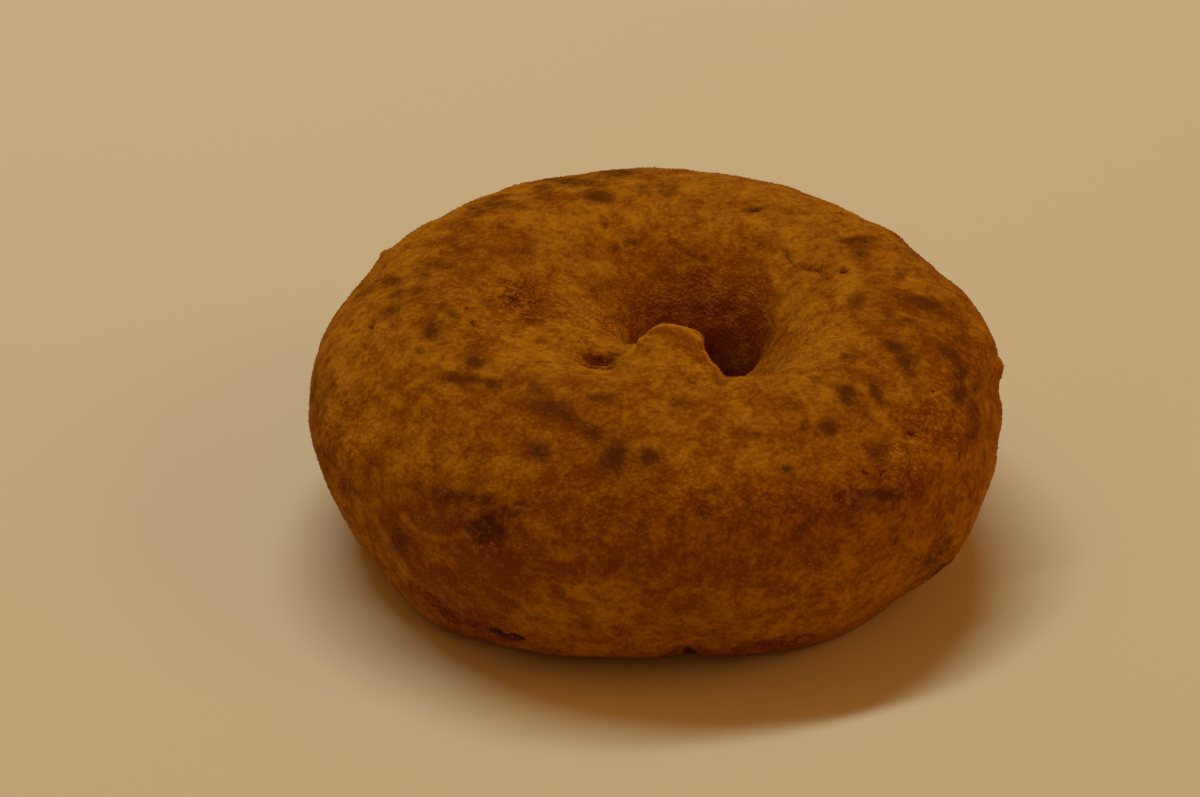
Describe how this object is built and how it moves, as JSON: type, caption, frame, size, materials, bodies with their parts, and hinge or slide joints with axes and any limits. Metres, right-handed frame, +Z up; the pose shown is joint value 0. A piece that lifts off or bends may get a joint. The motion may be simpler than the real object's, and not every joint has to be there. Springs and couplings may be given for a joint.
{
  "type": "ring doughnut",
  "caption": "Yeast ring doughnut with a pinched hole off to one side and a tip of dough on its lip, dusted all over with roasted soybean flour.",
  "frame": {"origin": "bottom centre of the doughnut's box, on the surface it rests on; the hole is about 5 mm to its +X side", "axes": "+Z up through the hole; -Y towards the viewer in the picture, where the tip of dough stands on the near lip of the hole"},
  "size_m": [0.0834, 0.0834, 0.0346],
  "materials": {
    "dusted_dough": "matt, powdery"
  },
  "bodies": {
    "root": {"doughnut": "dusted_dough"}
  },
  "joints": []
}
